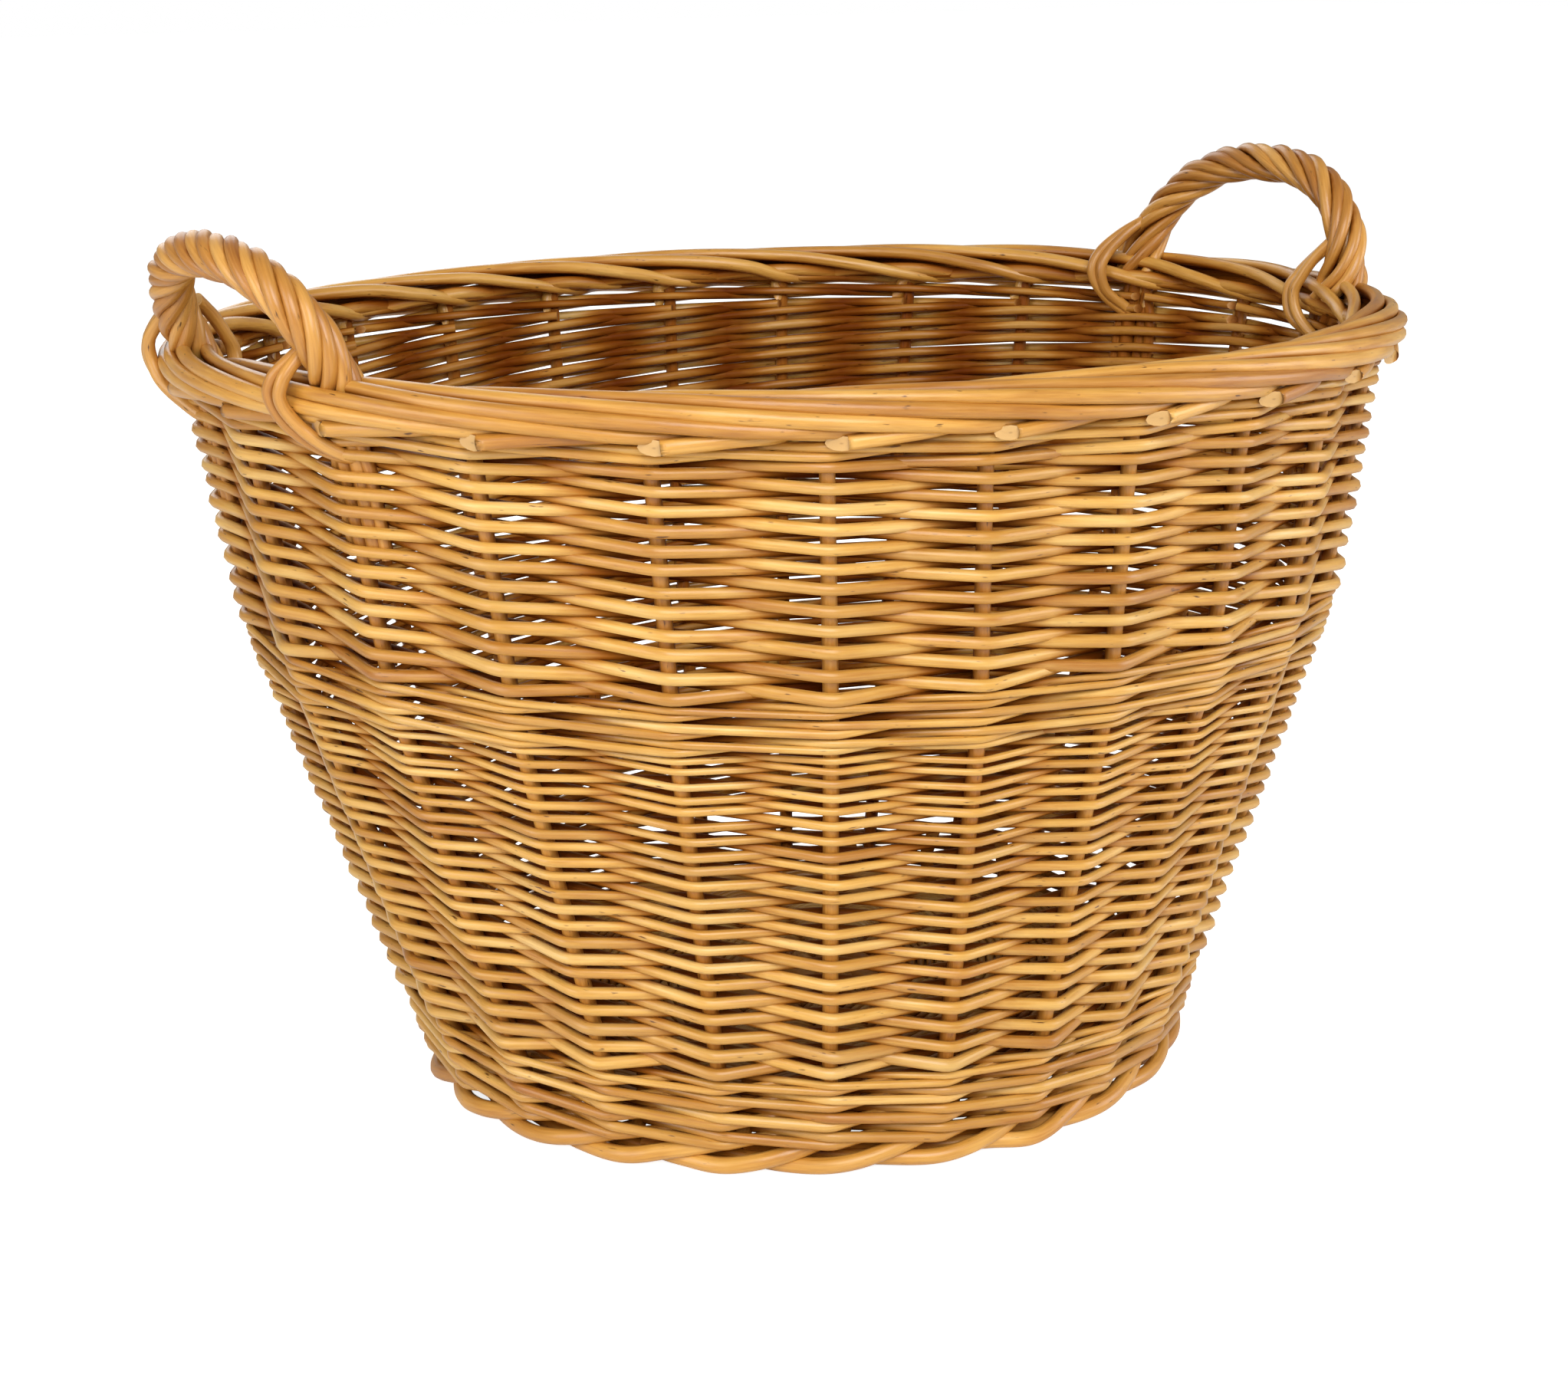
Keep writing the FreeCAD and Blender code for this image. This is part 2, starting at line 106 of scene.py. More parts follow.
def drifted(place, height):
    """Place with the stakes' sideways drift added."""
    wrapped = np.mod(place, STAKES)
    posts = np.arange(STAKES + 1)
    foot = np.interp(wrapped, posts, np.append(STAKE_DRIFT[0], STAKE_DRIFT[0, 0]))
    rim = np.interp(wrapped, posts, np.append(STAKE_DRIFT[1], STAKE_DRIFT[1, 0]))
    share = height / RIM
    return place + foot * (1 - share) + rim * share


def bulge(place, height):
    """Small hollows and swellings of a hand-made wall."""
    total = 0.0
    for size, waves, climb, start in BULGES:
        total = total + size * np.sin(2 * math.pi * waves * place / STAKES
                                      + climb * math.pi * height / RIM + start)
    return BULGE_SIZE * total


def wall_frame(place, height):
    """Points in the middle of the wall and the outward normals there."""
    place, height = np.broadcast_arrays(np.asarray(place, float), np.asarray(height, float))
    half_length, half_width = half_sizes(height)
    angle = even_angle(drifted(place, height), half_length, half_width)
    level = np.stack([half_width * np.cos(angle), half_length * np.sin(angle)], -1)
    level /= np.linalg.norm(level, axis=-1, keepdims=True)
    above_length, above_width = half_sizes(height + SLOPE_STEP)
    below_length, below_width = half_sizes(height - SLOPE_STEP)
    slope = ((above_length - below_length) * np.cos(angle) * level[..., 0]
             + (above_width - below_width) * np.sin(angle) * level[..., 1]) / (2 * SLOPE_STEP)
    normal = np.concatenate([level, -slope[..., None]], -1)
    normal /= np.linalg.norm(normal, axis=-1, keepdims=True)
    points = np.stack([half_length * np.cos(angle), half_width * np.sin(angle), height], -1)
    return points + normal * bulge(place, height)[..., None], normal


def wall_point(place, height, out):
    """Points at a distance from the middle of the wall."""
    points, normal = wall_frame(place, height)
    return points + normal * np.asarray(out, float)[..., None]


# ---- painted shade: how deep a point lies among the rods, zero at the skin, one in the darkest gaps ---

WALL_DEPTHS = ((-8.0, -6.0, -3.5, 0.8), (0.30, 0.9, 1.0, 0.0))     # mm out of the wall, and the share of painted shade there
STAKE_DEPTHS = ((-3.5, 2.5), (0.6, 0.0))
BASE_DEPTHS = ((1.0, 4.0), (1.0, 0.0))                             # mm from the middle of the base, and the share of painted shade there
BORDER_HEART = 0.5           # mm out of the wall
BORDER_REACH = (15, 10)      # mm out and mm up from the border's heart to its skin
BORDER_SKIN = 0.85           # share of the reach where the depth has gone
BORDER_FADE = 0.3
ROPE_SKIN = 0.0088
ROPE_FADE = 0.0035
LINE_STEP = 3                # every third point of a line is near enough to measure from


def out_of_wall(points):
    """Distance of points from the middle of the wall, outwards, in mm."""
    half_length, half_width = half_sizes(points[:, 2])
    length_share, width_share = points[:, 0] / half_length, points[:, 1] / half_width
    ratio = np.hypot(length_share, width_share)
    slope = np.hypot(length_share / half_length, width_share / half_width) / ratio
    place = np.arctan2(width_share, length_share) * STAKES / (2 * math.pi)
    return 1000 * ((ratio - 1) / slope - bulge(place, points[:, 2]))


def wall_depth(points):
    """Depth in the weave for painted shade, which darkens the gaps between rods. The inside of the wall
    gets painted shade too.
    """
    return np.interp(out_of_wall(points), *WALL_DEPTHS)


def stake_depth(points):
    """Depth of the upright rods for painted shade, which darkens the parts that show between the weave.
    """
    return np.interp(out_of_wall(points), *STAKE_DEPTHS)


def border_depth(points):
    """Depth in the rolled border for painted shade, darkest at its heart."""
    up = 1000 * (points[:, 2] - middle_height("top_border"))
    away = np.hypot((out_of_wall(points) - BORDER_HEART) / BORDER_REACH[0], up / BORDER_REACH[1])
    return np.clip((BORDER_SKIN - away) / BORDER_FADE, 0, 1)


def base_depth(points):
    """Depth in the woven base for painted shade, darkest at its middle."""
    away = 1000 * np.abs(points[:, 2] - middle_height("base_weave"))
    return np.interp(away, *BASE_DEPTHS)


def open_air(points):
    """No painted shade at all."""
    return np.zeros(len(points))


def round_line(line):
    """Depth among strands twisted round a line, for painted shade between them."""
    def shade_depth(points):
        away = np.linalg.norm(points[:, None] - line[None, ::LINE_STEP], axis=2).min(1)
        return np.clip((ROPE_SKIN - away) / ROPE_FADE, 0, 1)
    return shade_depth


# ---- rods --------------------------------------------------------------------------------------

CUT_RIM = 0.6                # cut mark at the edge of a cut end; it is one at the centre
CROWDING = 0.55              # how much closer a bent line's points stand near its stops
# thinnest and thickest rod of each kind, as a share of the usual radius
SPREADS = {"siding": (0.90, 1.10), "waling": (0.92, 1.08), "rolled": (0.93, 1.08),
           "rope": (0.93, 1.07), "lashing": (0.92, 1.05)}


class Rod:
    """Path, thickness and random tone of one willow rod."""

    def __init__(self, points, radius, up=None, slant=0.0):
        self.points = np.asarray(points, float)
        self.radius = np.broadcast_to(np.asarray(radius, float), len(self.points)).copy()
        self.up = up
        self.slant = slant
        self.tone = CHANCE.uniform()


def smooth(values, width):
    """Values along a path averaged over a few neighbours, twice, with the ends held."""
    if width < 1:
        return values
    for _ in range(2):
        padded = np.concatenate([np.repeat(values[:1], width, 0), values,
                                 np.repeat(values[-1:], width, 0)])
        total = np.cumsum(np.concatenate([np.zeros_like(padded[:1]), padded]), axis=0)
        span = 2 * width + 1
        values = (total[span:] - total[:-span]) / span
    return values


def bent_line(stops, per_span, soft):
    """Straight runs between stops, sampled closer near each stop, with softened bends."""
    count = len(stops) - 1
    along = np.arange(count * per_span + 1) / per_span
    share = along % 1.0
    along = along - CROWDING * np.sin(2 * math.pi * share) / (2 * math.pi)
    line = np.stack([np.interp(along, np.arange(count + 1), stops[:, axis]) for axis in range(3)], -1)
    return smooth(line, soft)


def flowing_line(stops, per_span):
    """Smooth curve through stops (Catmull-Rom)."""
    stops = np.asarray(stops, float)
    padded = np.concatenate([2 * stops[:1] - stops[1:2], stops, 2 * stops[-1:] - stops[-2:-1]])
    share = (np.arange(per_span) / per_span)[:, None]
    runs = []
    for before, start, end, after in zip(padded, padded[1:], padded[2:], padded[3:]):
        runs.append(0.5 * (2 * start + (end - before) * share
                           + (2 * before - 5 * start + 4 * end - after) * share ** 2
                           + (3 * start - before - 3 * end + after) * share ** 3))
    runs.append(stops[-1:])
    return np.concatenate(runs)


def side_vectors(points, up):
    """Two unit vectors square to a path at each of its points, and the one along it."""
    forward = np.gradient(points, axis=0)
    forward /= np.linalg.norm(forward, axis=1, keepdims=True)
    if up is None:
        up = carried_up(forward)
    first = up - forward * np.sum(up * forward, 1, keepdims=True)
    first /= np.linalg.norm(first, axis=1, keepdims=True)
    return first, np.cross(forward, first), forward


def carried_up(forward):
    """Direction square to the path, carried along it without twisting."""
    start = np.array([0.0, 0.0, 1.0]) if abs(forward[0, 2]) < 0.8 else np.array([1.0, 0.0, 0.0])
    rows = [start]
    for step in forward:
        side = rows[-1] - step * np.dot(rows[-1], step)
        rows.append(side / np.linalg.norm(side))
    return np.array(rows[1:])


def rod_mesh(rod, sides):
    """Vertices, faces, grain coordinates and cut marks of one rod."""
    first, second, forward = side_vectors(rod.points, rod.up)
    angles = 2 * math.pi * np.arange(sides) / sides
    spread = (first[:, None] * np.cos(angles)[None, :, None]
              + second[:, None] * np.sin(angles)[None, :, None])
    rings = rod.points[:, None] + spread * rod.radius[:, None, None]
    tilt = np.cos(angles)[:, None] * rod.slant
    rings[0] -= forward[0] * tilt * rod.radius[0]
    rings[-1] += forward[-1] * tilt * rod.radius[-1]
    count = len(rod.points)
    steps = np.linalg.norm(np.diff(rod.points, axis=0), axis=1)
    along = np.concatenate([[0], np.cumsum(steps)])
    grain = np.zeros((count, sides, 3))
    grain[..., 0] = along[:, None]
    grain[..., 1] = np.cos(angles) * rod.radius[:, None]
    grain[..., 2] = np.sin(angles) * rod.radius[:, None]
    verts, grains = [rings.reshape(-1, 3)], [grain.reshape(-1, 3)]
    cuts = [np.zeros(count * sides)]
    faces = ring_faces(count, sides)
    used = count * sides
    for end, flip in ((0, True), (-1, False)):
        centre = rings[end].mean(0, keepdims=True)
        verts += [rings[end], centre]
        grains += [grain[end], grain[end][:1] * [1, 0, 0]]
        cuts.append(np.append(np.full(sides, CUT_RIM), 1.0))
        faces += cap_faces(used, sides, flip)
        used += sides + 1
    return np.concatenate(verts), faces, np.concatenate(grains), np.concatenate(cuts)


def ring_faces(count, sides):
    """Four-cornered faces between neighbouring rings."""
    ring_start = np.arange(count - 1)[:, None] * sides
    corner = ring_start + np.arange(sides)
    beside = ring_start + (np.arange(sides) + 1) % sides
    quads = np.stack([corner, beside, beside + sides, corner + sides], -1)
    return quads.reshape(-1, 4).tolist()


def cap_faces(start, sides, flip):
    """Fan of faces that closes a rod's end."""
    centre = start + sides
    fan = []
    for side in range(sides):
        near, far = start + side, start + (side + 1) % sides
        fan.append([far, near, centre] if flip else [near, far, centre])
    return fan


def set_attribute(mesh, name, kind, values):
    """Values stored at each of a mesh's points for its material to read."""
    field = "vector" if kind == "FLOAT_VECTOR" else "value"
    attribute = mesh.attributes.new(name, kind, "POINT")
    attribute.data.foreach_set(field, np.concatenate(values).ravel())


def build(name, rods, material, nodes, sides=8, shade_depth=wall_depth):
    """One Blender object from many rods, riding on the basket's only body."""
    verts, faces, grains, tones, cuts, shade_depths = [], [], [], [], [], []
    used = 0
    for rod in rods:
        points, quads, grain, cut = rod_mesh(rod, sides)
        verts.append(points)
        faces += [[corner + used for corner in face] for face in quads]
        grains.append(grain)
        tones.append(np.full(len(points), rod.tone))
        cuts.append(cut)
        # painted shade: depth among the rods, which the material turns into darker colour
        shade_depths.append(shade_depth(points))
        used += len(points)
    mesh = bpy.data.meshes.new(name)
    mesh.from_pydata(np.concatenate(verts), [], faces)
    mesh.shade_smooth()
    set_attribute(mesh, "grain", "FLOAT_VECTOR", grains)
    set_attribute(mesh, "tone", "FLOAT", tones)
    set_attribute(mesh, "cut", "FLOAT", cuts)
    set_attribute(mesh, "shade_depth", "FLOAT", shade_depths)
    mesh.materials.append(material)
    piece = bpy.data.objects.new(name, mesh)
    bpy.context.scene.collection.objects.link(piece)
    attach(piece, "root")
    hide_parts(*nodes)


# ---- materials ---------------------------------------------------------------------------------

WILLOW_ROUGHNESS = 0.42
GRAIN_SHIFT = (91.7, 37.3, 53.9)         # moves each rod's grain by its tone, so that no two are alike
# noise waves per metre along and across a rod
PATCH_WAVES = (14.0, 60.0)
STREAK_WAVES = (45.0, 900.0)
SPECK_WAVES = (130.0, 700.0)
BUD_WAVES = (60.0, 220.0)
STREAK_SHARE = 0.38
SPECK_SHADE = 0.35
# colours at positions of each ramp
TONE_COLOURS = ((0.0, (0.78, 0.66, 0.50)), (0.5, (1.0, 1.0, 1.0)), (1.0, (1.14, 1.20, 1.40)))
PITH_COLOURS = ((0.60, (0.64, 0.38, 0.13)), (0.93, (0.60, 0.35, 0.115)),
                (0.985, (0.44, 0.24, 0.075)))
# painted shade: colour multiplied in by depth, darker in the gaps between rods and inside the wall
GAP_SHADE_COLOURS = ((0.0, (1.0, 1.0, 1.0)), (0.5, (0.58, 0.40, 0.24)), (1.0, (0.26, 0.11, 0.03)))
BLACK, WHITE = (0.0, 0.0, 0.0), (1.0, 1.0, 1.0)


def shade(node_tree, kind, **settings):
    """New shader node with some of its properties set."""
    node = node_tree.nodes.new(kind)
    for key, value in settings.items():
        setattr(node, key, value)
    return node


def willow(name, pale, middle, dark):
    """Varnished buff willow: long grain, rod-to-rod tone, bark specks, pale cut ends, and painted shade
    that darkens the gaps by depth.
    """
    material = bpy.data.materials.new(name)
    material.use_nodes = True
    tree = material.node_tree
    link = tree.links.new
    surface = tree.nodes["Principled BSDF"]

    grain = shade(tree, "ShaderNodeAttribute", attribute_name="grain")
    tone = shade(tree, "ShaderNodeAttribute", attribute_name="tone")
    cut = shade(tree, "ShaderNodeAttribute", attribute_name="cut")
    shade_depth = shade(tree, "ShaderNodeAttribute", attribute_name="shade_depth")

    def offset_grain(along, across):
        """Grain coordinates stretched along the rod and moved by the rod's tone."""
        mapping = shade(tree, "ShaderNodeMapping")
        mapping.inputs["Scale"].default_value = (along, across, across)
        link(grain.outputs["Vector"], mapping.inputs["Vector"])
        shift = shade(tree, "ShaderNodeVectorMath", operation="MULTIPLY_ADD")
        link(tone.outputs["Fac"], shift.inputs[0])
        shift.inputs[1].default_value = GRAIN_SHIFT
        link(mapping.outputs["Vector"], shift.inputs[2])
        return shift.outputs["Vector"]

    def noise(vector, detail, rough=0.55):
        """Noise on a vector."""
        texture = shade(tree, "ShaderNodeTexNoise")
        texture.inputs["Scale"].default_value = 1.0
        texture.inputs["Detail"].default_value = detail
        texture.inputs["Roughness"].default_value = rough
        link(vector, texture.inputs["Vector"])
        return texture.outputs["Fac"]

    def ramp(value, *stops):
        """Colour ramp with (position, colour) stops."""
        node = shade(tree, "ShaderNodeValToRGB")
        while len(node.color_ramp.elements) < len(stops):
            node.color_ramp.elements.new(0.5)
        for element, (position, colour) in zip(node.color_ramp.elements, stops):
            element.position = position
            element.color = (*colour, 1.0)
        link(value, node.inputs["Fac"])
        return node.outputs["Color"]

    def mix(share, first, second, blend="MIX"):
        """Two colours mixed."""
        node = shade(tree, "ShaderNodeMix", data_type="RGBA", blend_type=blend)
        for socket, value in ((node.inputs["Factor"], share), (node.inputs["A"], first),
                              (node.inputs["B"], second)):
            target = [item for item in node.inputs if item.name == socket.name
                      and item.enabled][0]
            if isinstance(value, bpy.types.NodeSocket):
                link(value, target)
            else:
                target.default_value = value if isinstance(value, float) else (*value, 1.0)
        return [item for item in node.outputs if item.enabled][0]

    patches = noise(offset_grain(*PATCH_WAVES), 3)
    streaks = noise(offset_grain(*STREAK_WAVES), 4)
    base = ramp(patches, (0.28, dark), (0.5, middle), (0.72, pale))
    base = mix(STREAK_SHARE, base, ramp(streaks, (0.3, dark), (0.55, middle), (0.8, pale)))
    base = mix(1.0, base, ramp(tone.outputs["Fac"], *TONE_COLOURS), "MULTIPLY")
    specks = ramp(noise(offset_grain(*SPECK_WAVES), 2, rough=0.4), (0.70, BLACK), (0.78, WHITE))
    base = mix(specks, base, tuple(SPECK_SHADE * value for value in dark))
    ends = ramp(cut.outputs["Fac"], (0.5, BLACK), (0.56, WHITE))
    base = mix(ends, base, ramp(cut.outputs["Fac"], *PITH_COLOURS))
    # painted shade: the colour is darkened by depth among the rods
    base = mix(1.0, base, ramp(shade_depth.outputs["Fac"], *GAP_SHADE_COLOURS), "MULTIPLY")
    link(base, surface.inputs["Base Color"])

    gloss = ramp(streaks, (0.3, (WILLOW_ROUGHNESS - 0.08,) * 3), (0.7, (WILLOW_ROUGHNESS + 0.12,) * 3))
    link(gloss, surface.inputs["Roughness"])
    link(ramp(shade_depth.outputs["Fac"], (0.0, (0.5,) * 3), (0.6, BLACK)), surface.inputs["Coat Weight"])
    link(ramp(shade_depth.outputs["Fac"], (0.0, (0.4,) * 3), (0.6, (0.05,) * 3)),
         surface.inputs["Specular IOR Level"])
    surface.inputs["Coat Roughness"].default_value = 0.28

    bump = shade(tree, "ShaderNodeBump")
    bump.inputs["Strength"].default_value = 0.35
    bump.inputs["Distance"].default_value = 0.0006
    link(streaks, bump.inputs["Height"])
    buds = shade(tree, "ShaderNodeBump")
    buds.inputs["Strength"].default_value = 0.5
    buds.inputs["Distance"].default_value = 0.0012
    link(noise(offset_grain(*BUD_WAVES), 2), buds.inputs["Height"])
    link(bump.outputs["Normal"], buds.inputs["Normal"])
    link(buds.outputs["Normal"], surface.inputs["Normal"])
    return material


def floor_paint(colour, glow):
    """Pale floor that looks a little brighter to the camera than it is."""
    material = bpy.data.materials.new("floor_paint")
    material.use_nodes = True
    tree = material.node_tree
    surface = tree.nodes["Principled BSDF"]
    surface.inputs["Base Color"].default_value = (*colour, 1.0)
    surface.inputs["Roughness"].default_value = 0.7
    surface.inputs["Emission Color"].default_value = (1.0, 1.0, 1.0, 1.0)
    rays = tree.nodes.new("ShaderNodeLightPath")
    level = tree.nodes.new("ShaderNodeMapRange")
    level.inputs["To Max"].default_value = glow
    tree.links.new(rays.outputs["Is Camera Ray"], level.inputs["Value"])
    tree.links.new(level.outputs["Result"], surface.inputs["Emission Strength"])
    return material


WEAVE = willow("willow_weave", (0.73, 0.48, 0.155), (0.62, 0.325, 0.056), (0.40, 0.145, 0.015))
STAKE = willow("willow_stake", (0.68, 0.36, 0.075), (0.55, 0.245, 0.036), (0.34, 0.115, 0.012))
BORDER = willow("willow_border", (0.75, 0.43, 0.105), (0.60, 0.290, 0.045), (0.37, 0.130, 0.014))
HANDLE = willow("willow_handle", (0.70, 0.38, 0.090), (0.55, 0.250, 0.040), (0.32, 0.110, 0.012))


# ---- woven bands -------------------------------------------------------------------------------

WEAVE_SAMPLES = 12           # points between neighbouring stakes
BEND_SOFTNESS = 1            # neighbours averaged at each bend
WOBBLE_STEPS = 3.0           # stakes between the turns of a rod's wandering
PLACE_WOBBLE = {"siding": 0.012, "waling": 0.015}        # in stakes
HEIGHT_WOBBLE = {"siding": 0.0005, "waling": 0.0003}     # in metres
START_SCATTER = 0.0004       # spread of the siding rods' heights
BUTT_REACH = -1.15           # a siding rod starts on a stake's inner side; at -1 it would touch it
WALE_END_TUCK = 0.5          # radii by which a waling rod's ends, behind the stakes, stand further in
WALE_SINK = 0.001            # the bottom waling starts this far below its CAD band
WALE_ROD_SPANS = (9, 12)     # stakes that one rod of waling passes
BOTTOM_WALE_RADII = (0.0027, 0.0026, 0.0023, 0.0018)
MID_WALE_RADII = (0.0019, 0.0020, 0.0018)
TOP_WALE_RADII = (0.0022, 0.0022)        # the second round lies hidden inside the border
# stakes passed, thick and thin radius, and the climb at the thick end beside that at the thin end
LOWER_SIDING = (41, 0.0029, 0.0016, 9.0, 5.3)
UPPER_SIDING = (23, 0.0030, 0.0026, 11.0, 8.8)


def wobble(count, size):
    """Random wandering of a rod from stake to stake."""
    turns = CHANCE.normal(0, size, int(count / WOBBLE_STEPS) + 3)
    return np.interp(np.arange(count) / WOBBLE_STEPS, np.arange(len(turns)), turns)


def randing_rod(start, low, high, passes, thick, thin, first_pitch, last_pitch):
    """One rod of French randing. It climbs one level at each stake and travels clockwise."""
    travel = np.arange(-1, passes + 1)
    inside = np.clip(travel, 0, passes - 1)
    rise = inside * first_pitch + (last_pitch - first_pitch) * inside ** 2 / (2 * (passes - 1))
    rise = rise / ((passes - 1) * (first_pitch + last_pitch) / 2)
    scale = CHANCE.uniform(*SPREADS["siding"])
    radius = scale * np.interp(inside, (0, passes - 1), (thick, thin))
    heights = low + thick + (high - low - thick - thin) * rise
    heights = heights + wobble(len(travel), HEIGHT_WOBBLE["siding"]) + START_SCATTER * CHANCE.normal()
    side = np.where(travel % 2 == 0, 1.0, -1.0)
    side[0] = BUTT_REACH
    out = side * (STAKE_RADIUS + radius)
    places = start - travel + wobble(len(travel), PLACE_WOBBLE["siding"])
    stops = wall_point(places, heights, out)
    line = bent_line(stops, WEAVE_SAMPLES, BEND_SOFTNESS)
    along = np.linspace(0, len(travel) - 1, len(line))
    normals = bent_line(wall_frame(places, heights)[1], WEAVE_SAMPLES, 0)
    return Rod(line, np.interp(along, np.arange(len(travel)), radius), up=normals, slant=0.6)


def randing(low, high, passes, thick, thin, first_pitch, last_pitch):
    """French randing: one rod starts beside each stake."""
    return [randing_rod(start, low, high, passes, thick, thin, first_pitch, last_pitch)
            for start in range(STAKES)]


def waling_rod(first, start, length, middle, radius, rise):
    """One rod of three-rod waling: in front of two stakes, behind one, travelling clockwise."""
    travel = np.arange(start, start + length + 1)
    stroke = (travel - first) % 3
    scale = CHANCE.uniform(*SPREADS["waling"])
    out = np.where(stroke == 2, -1.0, 1.0) * (STAKE_RADIUS + radius * scale)
    lift = np.array([-0.5, 0.5, 0.0])[stroke] * rise / 2
    out[0] -= WALE_END_TUCK * radius
    out[-1] -= WALE_END_TUCK * radius
    places = -travel + wobble(len(travel), PLACE_WOBBLE["waling"])
    heights = middle + lift + wobble(len(travel), HEIGHT_WOBBLE["waling"])
    stops = wall_point(places, heights, out)
    line = bent_line(stops, WEAVE_SAMPLES, BEND_SOFTNESS)
    normals = bent_line(wall_frame(places, heights)[1], WEAVE_SAMPLES, 0)
    return Rod(line, radius * scale, up=normals, slant=0.8)


def waling(low, radii):
    """Rounds of three-rod waling stacked from a height. Each rod ends behind a stake."""
    rods = []
    middle = low
    for radius in radii:
        rise = 4 * radius
        middle += rise / 2
        for first in range(3):
            start = first + 2
            while start < first + 2 + STAKES:
                length = min(int(CHANCE.choice(WALE_ROD_SPANS)), first + 2 + STAKES - start)
                rods.append(waling_rod(first, start, length, middle, radius, rise))
                start += length
        middle += rise / 2
    return rods


def split(rods, parts):
    """Rods dealt into a few lists of neighbours."""
    size = math.ceil(len(rods) / parts)
    return [rods[start:start + size] for start in range(0, len(rods), size)]


def make_waling(node, radii, sink=0.0):
    """One band of waling, which may start a little below its CAD node."""
    low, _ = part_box(node)
    build(f"{node}_rods", waling(low.z - sink, radii), WEAVE, [node])


def make_siding(node, sizes, parts):
    """One band of siding, dealt into a few pieces."""
    low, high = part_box(node)
    for number, group in enumerate(split(randing(low.z, high.z, *sizes), parts), start=1):
        build(f"{node}_rods_{number}", group, WEAVE, [node])


def make_bands():
    """Every woven band of the wall, from the foot up."""
    make_waling("bottom_wale", BOTTOM_WALE_RADII, WALE_SINK)
    make_siding("lower_siding", LOWER_SIDING, 4)
    make_waling("mid_wale", MID_WALE_RADII)
    make_siding("upper_siding", UPPER_SIDING, 3)
    make_waling("top_wale", TOP_WALE_RADII)


# ---- stakes, foot and border -------------------------------------------------------------------

STAKE_BEND_HEIGHT = 0.034
STAKE_RISE = 0.004           # stakes go this far past their CAD tops, into the border
STAKE_POINTS = 40
STAKE_BEND_SAMPLES = 6
STAKE_THINNING = (1.05, 0.92)            # share of the stakes' radius at the foot and at the rim
STAKE_BEND = ((0.050, 0.0095), (0.022, 0.0100), (0.006, 0.0085), (0, 0))    # inwards, and down


def make_stakes():
    """Upright stakes, thinner towards the rim. Their lower ends bend inwards into the base."""
    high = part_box("side_stakes")[1].z
    heights = np.linspace(STAKE_BEND_HEIGHT, high + STAKE_RISE, STAKE_POINTS)
    rods = []
    for stake in range(STAKES):
        upright = wall_point(np.full(len(heights), float(stake)), heights, 0.0)
        inward = -upright[0] * [1, 1, 0] / np.hypot(upright[0, 0], upright[0, 1])
        turned = flowing_line([upright[0] + inward * reach - [0, 0, drop]
                               for reach, drop in STAKE_BEND], STAKE_BEND_SAMPLES)
        line = np.concatenate([turned[:-1], upright])
        radius = STAKE_RADIUS * np.linspace(*STAKE_THINNING, len(line))
        rods.append(Rod(line, radius))
    build("side_stake_rods", rods, STAKE, ["side_stakes"], sides=10,
          shade_depth=stake_depth)


TURN_UNEVENNESS = (0.03, 0.5, 0.35)      # stakes along, mm out and mm up
TURN_SAMPLES = 14


def wall_turns(place, turns, middle, per_span):
    """Curve through (stakes travelled clockwise, mm out, mm up) turns about a height, and normals."""
    line = flowing_line(turns, per_span)
    places = place - line[:, 0]
    heights = middle + np.minimum(line[:, 2], 0.0) / 1000
    points, normals = wall_frame(places, heights)
    points = points + normals * line[:, 1:2] / 1000
    points[:, 2] = middle + line[:, 2] / 1000
    return points, normals


def rolled_rods(turns, middle, radius, slant):
    """One rod per stake that goes through the same turns."""
    rods = []
    for stake in range(STAKES):
        own = np.array(turns) + CHANCE.normal(0, 1, (len(turns), 3)) * TURN_UNEVENNESS
        points, normals = wall_turns(stake, own, middle, TURN_SAMPLES)
        thickness = radius * CHANCE.uniform(*SPREADS["rolled"])
        rods.append(Rod(points, thickness, up=normals, slant=slant))
    return rods


BORDER_RADIUS = 0.00335
BORDER_SLANT = -1.9          # cut faces turn outwards
FOOT_RADIUS = 0.0040
FOOT_SLANT = 0.8
# stakes travelled clockwise, mm out and mm up from the middle of the border or the foot
BORDER_TURNS = ((-0.05, 0, -16), (0.0, 0, -9), (0.5, -4, -4.5), (1.0, -8, -3), (1.5, -1, -6),
                (2.0, 9.0, -7), (2.5, 12, -5), (3.0, 12.7, -2), (4.0, 10.5, 3.0), (5.0, 3.5, 6.3),
                (6.0, -6.5, 5.3), (6.6, -11.3, 0), (7.0, -7, -6), (7.25, 1, -8.5), (7.5, 8.5, -9),
                (7.95, 12.3, -11.5))
FOOT_TURNS = ((-0.22, -1, 42), (-0.2, -1, 26), (-0.14, -1, 14), (0.0, 0, 8), (0.5, 6, 2),
              (1.0, 8, -2.4), (1.5, 2, -2.9), (2.0, -6, -2.2), (2.5, -7, 1), (2.8, -6, 2))


def make_border():
    """Rolled border: every stake's upper end lies down, goes round the rim and ends outside."""
    rods = rolled_rods(BORDER_TURNS, middle_height("top_border"), BORDER_RADIUS, BORDER_SLANT)
    for number, group in enumerate(split(rods, 2), start=1):
        build(f"top_border_rods_{number}", group, BORDER, ["top_border", "border_cut_ends"],
              sides=12, shade_depth=border_depth)


